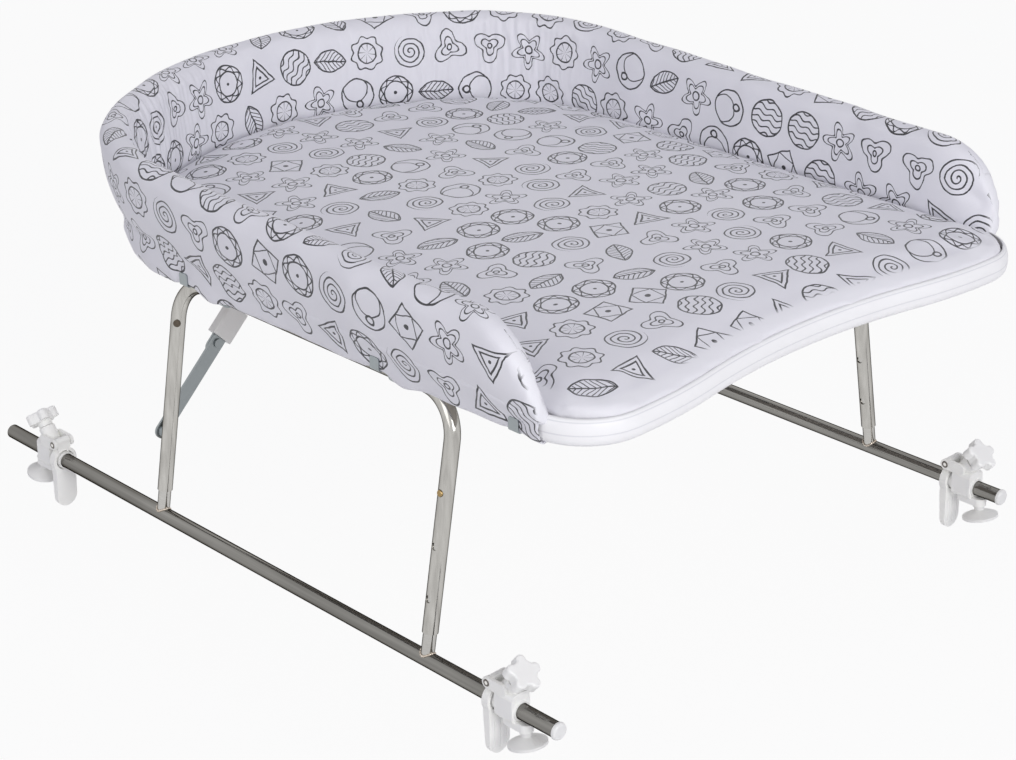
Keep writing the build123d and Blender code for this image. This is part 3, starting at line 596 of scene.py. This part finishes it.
# Rim: a foam wall in the same printed cloth that leans out along both sides and round the head. It is pinched
# at its foot, fullest near its top, rises toward the head, and ends in front in two fins.
# Fine folds gather inside the turns.
RIDGE_OUT = 0.010
TIP_Y = RAIL_Y - 0.394
TIP_RUN = 0.076
LEAN = math.tan(math.radians(1.77))


def rim_path():
    """The ridge line in plan, closely spaced, from the right tip round the head to the left tip."""
    quarter = math.pi / 2
    side = np.linspace((HALF + RIDGE_OUT, TIP_Y), (HALF + RIDGE_OUT, SPRING_Y), 300)
    turn = arc((HALF - HEAD_CORNER, SPRING_Y), HEAD_CORNER + RIDGE_OUT, 0, quarter - HEAD_ANGLE, 200)
    head = arc((0, HEAD_TOP - HEAD_RADIUS), HEAD_RADIUS + RIDGE_OUT, quarter - HEAD_ANGLE, quarter, 200)
    half = np.vstack((side, turn[1:], head[1:]))
    return np.vstack((half, (half * (-1, 1))[-2::-1]))


ridge = evenly(rim_path(), 2400)
ridge_run = np.concatenate(([0], np.cumsum(np.linalg.norm(np.diff(ridge, axis=0), axis=1))))
ridge_dir = np.gradient(ridge, axis=0)
ridge_dir /= np.linalg.norm(ridge_dir, axis=1, keepdims=True)
ridge_out = np.column_stack((ridge_dir[:, 1], -ridge_dir[:, 0]))


def on_ridge(run):
    """The ridge's place in plan and its outward direction, so far along it."""
    return [np.array([np.interp(run, ridge_run, line[:, k]) for k in range(2)])
            for line in (ridge, ridge_out)]


def through(a, b, c, count):
    """Points on the arc from a through b to c."""
    a, b, c = (np.array(p, float) for p in (a, b, c))
    d = 2 * (a[0] * (b[1] - c[1]) + b[0] * (c[1] - a[1]) + c[0] * (a[1] - b[1]))
    sq = [p @ p for p in (a, b, c)]
    centre = np.array((sq[0] * (b[1] - c[1]) + sq[1] * (c[1] - a[1]) + sq[2] * (a[1] - b[1]),
                       sq[0] * (c[0] - b[0]) + sq[1] * (a[0] - c[0]) + sq[2] * (b[0] - a[0]))) / d
    start, mid, end = (math.atan2(*(p - centre)[::-1]) for p in (a, b, c))
    mid = start + (mid - start + math.pi) % (2 * math.pi) - math.pi
    end = mid + (end - mid + math.pi) % (2 * math.pi) - math.pi
    return arc(centre, np.linalg.norm(a - centre), start, end, count)


RIM_TOP = 0.090
RIM_FOOT = -0.045
FOOT_IN, FOOT_OUT, FOOT_MIDDLE = -0.020, -0.005, -0.0125
TIP_STEPS = 18
STEP = 0.008
inner = through((FOOT_IN, 0), (-0.0175, 0.037), (-0.0125, 0.074), 20)
over = through((-0.0125, 0.074), (0, RIM_TOP), (0.0125, 0.070), 24)
outer = through((0.0125, 0.070), (0.0085, 0.036), (FOOT_OUT, 0), 20)
section = evenly(np.vstack(((FOOT_IN, RIM_FOOT), inner, over[1:], outer[1:], (FOOT_OUT, RIM_FOOT))),
                 84, closed=True)
stations = [(TIP_RUN * (1 - math.sin(dip)), math.cos(dip), 1 - 0.45 * math.sin(dip) ** 4)
            for dip in np.radians(np.linspace(86, 0, TIP_STEPS))]
stations += [(run, 1.0, 1.0) for run in np.arange(TIP_RUN + STEP, ridge_run[-1] - TIP_RUN - STEP / 2, STEP)]
stations += [(ridge_run[-1] - run, rise, girth) for run, rise, girth in stations[TIP_STEPS - 1::-1]]
loops = []
for run, rise, girth in stations:
    at, out = on_ridge(run)
    across = FOOT_MIDDLE + (section[:, 0] - FOOT_MIDDLE) * girth
    height = np.maximum(section[:, 1] * rise + (at[1] - TIP_Y) * LEAN, 0.0005)
    loops.append(np.column_stack((at + across[:, None] * out, PAD_Z + height)))
rim = piece_from("rim_cushion", *closed_tube(loops), cover_cloth)
stuff(rim, voxel=0.005, held_below=PAD_Z + 0.006, pressure=2.5, most=0.004)
near_ridge = near_line(ridge)


def on_rim(co):
    """Run along the ridge, distance outside it, and height of the ridge, for each point."""
    index = np.array([near_ridge.find((p[0], p[1], 0))[1] for p in co])
    side = np.einsum("ij,ij->i", co[:, :2] - ridge[index], ridge_out[index])
    top = PAD_Z + RIM_TOP + (ridge[index][:, 1] - TIP_Y) * LEAN
    return index, ridge_run[index], side, top


BEND = 0.012
PRINT_SHIFT = 0.021


def unrolled(side, height, top):
    """How far the cloth has run over the ridge, out to the foot or in to the foot."""
    outward = side - FOOT_MIDDLE * np.clip((top - height) / RIM_TOP, 0, 1)
    over = np.arctan2(outward, np.maximum(height - top + BEND, 1e-4)) * BEND
    return over + np.sign(outward) * np.maximum(top - BEND - height, 0)


TURN_RUN, TURN_REACH = 0.70, 0.11
FOLD_PITCH, FOLD_DEPTH = 0.013, 0.0011
co = points_of(rim)
index, run, side, top = on_rim(co)
turn_at = np.minimum(np.abs(run - TURN_RUN), np.abs(run - (ridge_run[-1] - TURN_RUN)))
gather = np.exp(-(turn_at / TURN_REACH) ** 2) * ramp(-side, start=0.002, run=0.012)
gather *= ramp(co[:, 2] - PAD_Z, start=0.02, run=0.03)
folds = np.sin(run * 2 * math.pi / FOLD_PITCH + 2.2 * np.sin(co[:, 2] * 70)) * (0.6 + 0.4 * np.sin(run * 61))
slack = np.sin(run * 2 * math.pi / 0.21 + 1.3) * 0.0012 + np.sin(run * 2 * math.pi / 0.083) * 0.0005
push = gather * folds * FOLD_DEPTH + slack * ramp(co[:, 2] - PAD_Z, start=0.01, run=0.02)
co[:, :2] += ridge_out[index] * push[:, None]
put_points(rim, co)
keep_value(rim, "drawn_in", gather)
normals = np.empty(len(co) * 3)
rim.data.vertex_normals.foreach_get("vector", normals)
endways = np.abs(np.einsum("ij,ij->i", normals.reshape(-1, 3)[:, :2], ridge_dir[index]))
at_tip = np.minimum(run, ridge_run[-1] - run) < TIP_RUN
keep_value(rim, "bare", ramp(endways, start=0.55, run=0.25) * at_tip)
keep_layout(rim, np.column_stack((run, unrolled(side, co[:, 2], top) + PRINT_SHIFT)))
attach(rim, "tray")
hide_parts("bolster")

# Cover skirt: the cloth of the rim runs on down over the board's edge and is tucked under it, held by clips.
# One thin strip of the same print that leaves the rim's own surface, drawn in at the clips, slack between
# them and bulged beside the leg frames' saddles.
SKIRT = [(0.022, -0.0007), (0.016, 0.0002), (0.010, 0.0007)]
HEM = [(-0.0008, -0.0042), (-0.0050, -0.0056), (-0.0090, -0.0070), (-0.0124, -0.0082),
       (-0.0146, -0.0096), (-0.0152, -0.0116), (-0.0146, -0.0138), (-0.0132, -0.0165), (-0.0125, -0.0205)]
BOARD_EDGE = -0.0100
HEM_UNDER = -0.0121
CLIP_IN = -0.0073
CLIP_HALF, CLIP_EASE = 0.0065, 0.012
NO_CLIP = 0.05
HANG = 0.014
BULGE_HALF, BULGE_OUT, BULGE_DOWN = 0.018, 0.0016, 0.0050
BULGE_Y = [RAIL_Y + y for y in (-0.216, 0.055)]
CLIP_Y = [RAIL_Y + y for y in (-0.358, -0.183, 0.093)]
LOOK_FROM, LOOK_REACH = 0.06, 0.1
rim_shape = bvhtree.BVHTree.FromPolygons([tuple(p) for p in points_of(rim)],
                                         [tuple(poly.vertices) for poly in rim.data.polygons])
SKIRT_FROM, SKIRT_TO = 0.004, ridge_run[-1] - 0.003
skirt_runs = np.arange(SKIRT_FROM, SKIRT_TO, 0.0025)
rows = []
layout = []
for run in skirt_runs:
    at, out = on_ridge(run)
    clip = min(abs(at[1] - y) for y in CLIP_Y) if at[1] < SPRING_Y else NO_CLIP
    free = ramp(clip, start=CLIP_HALF, run=CLIP_EASE)
    free = free * free * (3 - 2 * free)
    slack = (0.0008 * math.sin(run * 47) + 0.0004 * math.sin(run * 131 + 1)) * free
    end = min(1.0, min(run, ridge_run[-1] - run) / TIP_RUN)
    low = math.sqrt(1 - (1 - end) ** 2)
    strip = []
    for rise, proud in SKIRT:
        rise *= low
        start = Vector((*(at + LOOK_FROM * out), PAD_Z + rise))
        hit = rim_shape.ray_cast(start, Vector((*-out, 0)), LOOK_REACH)[0]
        across = FOOT_OUT if hit is None else float((np.array(hit[:2]) - at) @ out)
        strip.append((rise, across + proud))
    bulge = max(math.exp(-((at[1] - y) / BULGE_HALF) ** 2) for y in BULGE_Y) * free if at[1] < SPRING_Y else 0
    for drop, across in HEM:
        hang = max(0, min(1, -drop / HANG))
        across += slack + BULGE_OUT * bulge * hang
        drop -= BULGE_DOWN * bulge * hang ** 2
        strip.append((drop + (max(drop, HEM_UNDER) - drop) * (1 - free),
                      across + (min(across, CLIP_IN) - across) * (1 - free)))
    lift = (at[1] - TIP_Y) * LEAN
    for rise, across in strip:
        rows.append((*(at + across * out), PAD_Z + rise))
        layout.append((run, PRINT_SHIFT + BEND * (math.pi / 2 - 1) + RIM_TOP + lift - rise
                       + max(0, BOARD_EDGE - across)))
skirt = piece_from("cover_skirt", rows, grid_faces(len(skirt_runs), len(strip)), cover_cloth)
keep_layout(skirt, np.array(layout))
thick = skirt.modifiers.new("thick", "SOLIDIFY")
thick.thickness = 0.0005
thick.offset = 1.0
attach(skirt, "tray")

# Front binding: a plain white coated strip sewn along the wavy front edge of the pad and wrapped under the
# board. It bulges softly over its core, with two stitched grooves along it whose shade is painted darker
# grey, and a shadowed fold below.
band_white = Finish("plain_binding")
flat = band_white.node("Attribute", {"attribute_name": "cloth_layout"})["Vector"]
across = band_white.node("SeparateXYZ", {}, {0: flat})
crumple = band_white.noise(30.0, 3.0)
STITCH = 0.004
stitch = (across["X"] / STITCH).math("FRACT")
groove_and_shade = abs(across["Y"] - 0.0042) < 0.0005
groove_and_shade = groove_and_shade.math("MAXIMUM", abs(across["Y"] - 0.0150) < 0.0006)
sewn = groove_and_shade * (stitch < 0.75)
coat = band_white.mix(crumple, (0.90, 0.90, 0.91, 1), (0.95, 0.95, 0.955, 1))
# Painted shade: both grooves are mixed toward a darker grey along their whole length.
band_tone = band_white.mix(groove_and_shade * 0.5, coat, (0.66, 0.66, 0.70, 1))
puckers = band_white.bump(crumple * 0.6 - groove_and_shade * 1.2 + sewn * 0.7, 0.35, 0.0012)
binding_cloth = band_white.surface(Base_Color=band_tone, Roughness=crumple * 0.15 + 0.4, Sheen_Weight=0.1,
                                   Normal=puckers)
FINE_STEP = 0.0017
BAND = [(0.0026, 0.0102), (0.0004, 0.0090), (-0.0008, 0.0070), (-0.0017, 0.0042), (-0.0024, 0.0010),
        (-0.0026, -0.0030), (-0.0024, -0.0070), (-0.0016, -0.0104), (0.0006, -0.0128), (0.0050, -0.0135),
        (0.0130, -0.0134)]
rows = []
layout = []
whole = tray_outline(0, 0, FINE_POINTS)
front_part = [i for i in range(-FINE_POINTS // 2, FINE_POINTS // 2) if whole[i][1] < TIP_Y + 0.016][::3]
outlines = [tray_outline(inset, inset, FINE_POINTS) for inset, _ in BAND]
for i in front_part:
    down = 0.0
    for number, (inset, rise) in enumerate(BAND):
        rows.append((*outlines[number][i], PAD_Z + rise))
        down += 0 if number == 0 else math.dist(BAND[number], BAND[number - 1])
        layout.append((i * FINE_STEP, down))
band = piece_from("front_binding", rows, grid_faces(len(front_part), len(BAND)), binding_cloth)
keep_layout(band, np.array(layout))
thick = band.modifiers.new("thick", "SOLIDIFY")
thick.thickness = 0.0012
thick.offset = 0.0
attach(band, "tray")
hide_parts("front_edge_trim")

# Stage: a plain white floor that keeps a faint shadow, a little below the jaws so that the rails clear it
# when they are let down, soft light from the front, the left and the back, and the camera.
# Floor and room look white, in metal and glass too.
def seen_in(finish):
    """One for rays from the camera, by mirror or through glass."""
    path = finish.node("LightPath")
    mirror = path["Is Camera Ray"].math("MAXIMUM", path["Is Glossy Ray"])
    return mirror.math("MAXIMUM", path["Is Transmission Ray"])


floor_white = Finish("stage_white")
matt = floor_white.node("BsdfDiffuse", {}, {"Color": (0.85, 0.85, 0.85, 1)})["BSDF"]
white = floor_white.node("Emission", {}, {"Color": (1, 1, 1, 1), "Strength": 1.0})["Emission"]
pale = floor_white.node("MixShader", {}, {"Fac": seen_in(floor_white) * 0.92, 1: matt, 2: white})["Shader"]
floor_white.node("OutputMaterial", {}, {"Surface": pale})
FLOOR_Z = -0.11
FLOOR_REACH = 40
corners = [(x * FLOOR_REACH, y * FLOOR_REACH, FLOOR_Z)
           for x, y in ((-1, -1), (1, -1), (1, 1), (-1, 1))]
floor = piece_from("floor", corners, [(0, 1, 2, 3)], floor_white.material)

room = Finish("studio", bpy.data.worlds)
glow = room.node("Background", {}, {"Color": (0.92, 0.91, 1.0, 1), "Strength": 0.46})["Background"]
plain = room.node("Background", {}, {"Color": (1, 1, 1, 1), "Strength": 1.0})["Background"]
both = room.node("MixShader", {}, {"Fac": seen_in(room), 1: glow, 2: plain})["Shader"]
room.node("OutputWorld", {}, {"Surface": both})
scene.world = room.material


AIM = Vector((0, 0, 0.3))


def lamp(name, place, size, power):
    """A square soft lamp that faces the tray."""
    data = bpy.data.lights.new(name, "AREA")
    data.size = size
    data.energy = power
    light = bpy.data.objects.new(name, data)
    light.location = place
    light.rotation_mode = "QUATERNION"
    light.rotation_quaternion = (AIM - Vector(place)).to_track_quat("-Z", "Y")
    scene.collection.objects.link(light)


lamp("key", (-1.1, -3.8, 1.95), size=2.0, power=75)
lamp("fill", (-3.0, -0.4, 1.7), size=1.8, power=13)
lamp("back", (2.6, 3.0, 2.0), size=2.0, power=6)

yaw, pitch, roll = (math.radians(a) for a in (43.16, 24.16, -0.65))
ahead = Vector((math.sin(yaw) * math.cos(pitch), math.cos(yaw) * math.cos(pitch), -math.sin(pitch)))
right = Vector((math.cos(yaw), -math.sin(yaw), 0))
up = right.cross(ahead)
right, up = (right * math.cos(roll) + up * math.sin(roll), up * math.cos(roll) - right * math.sin(roll))
camera = bpy.data.objects.new("camera", bpy.data.cameras.new("camera"))
camera.data.sensor_width = 36.0
camera.data.lens = 87.02
camera.matrix_world = Matrix((right, up, -ahead)).transposed().to_4x4()
camera.location = (-1.5528, -1.6722, 1.1755)
scene.collection.objects.link(camera)
scene.camera = camera
scene.view_settings.view_transform = "Standard"
